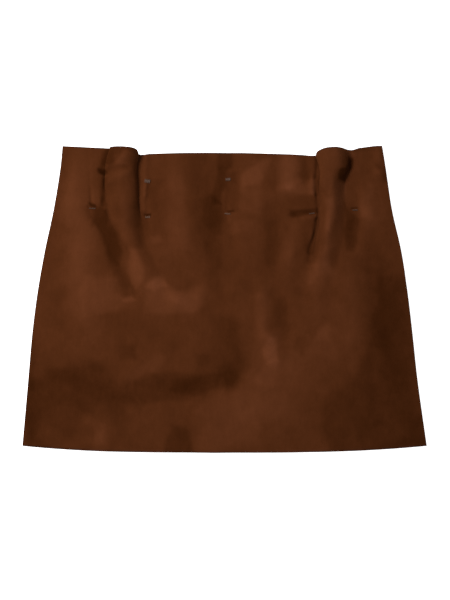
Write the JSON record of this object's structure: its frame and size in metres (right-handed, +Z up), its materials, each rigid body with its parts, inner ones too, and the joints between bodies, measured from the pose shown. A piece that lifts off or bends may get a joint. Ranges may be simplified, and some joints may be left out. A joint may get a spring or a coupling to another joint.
{
  "type": "suede mini skirt, laid flat",
  "caption": "Short A-line suede skirt laid flat, front up, with pleats sewn down from the waist and soft standing rolls between them.",
  "frame": {"origin": "on the surface that the skirt lies on, under the middle of its box", "axes": "+X to the right of the laid skirt, +Y towards its waist, +Z up from the surface"},
  "size_m": [0.5002, 0.3793, 0.0217],
  "materials": {
    "suede": "dark brown napped suede, matt, with soft lighter and darker brushed patches",
    "zip_tape": "brown woven tape with a closed nylon coil",
    "zip_metal": "brown lacquered metal, satin",
    "thread": "brown polyester sewing thread, slight sheen"
  },
  "bodies": {
    "root": {"front_panel": "suede", "back_panel": "suede", "zip_tape": "zip_tape", "zip_slider": "zip_metal", "zip_pull": "zip_metal"}
  },
  "joints": []
}
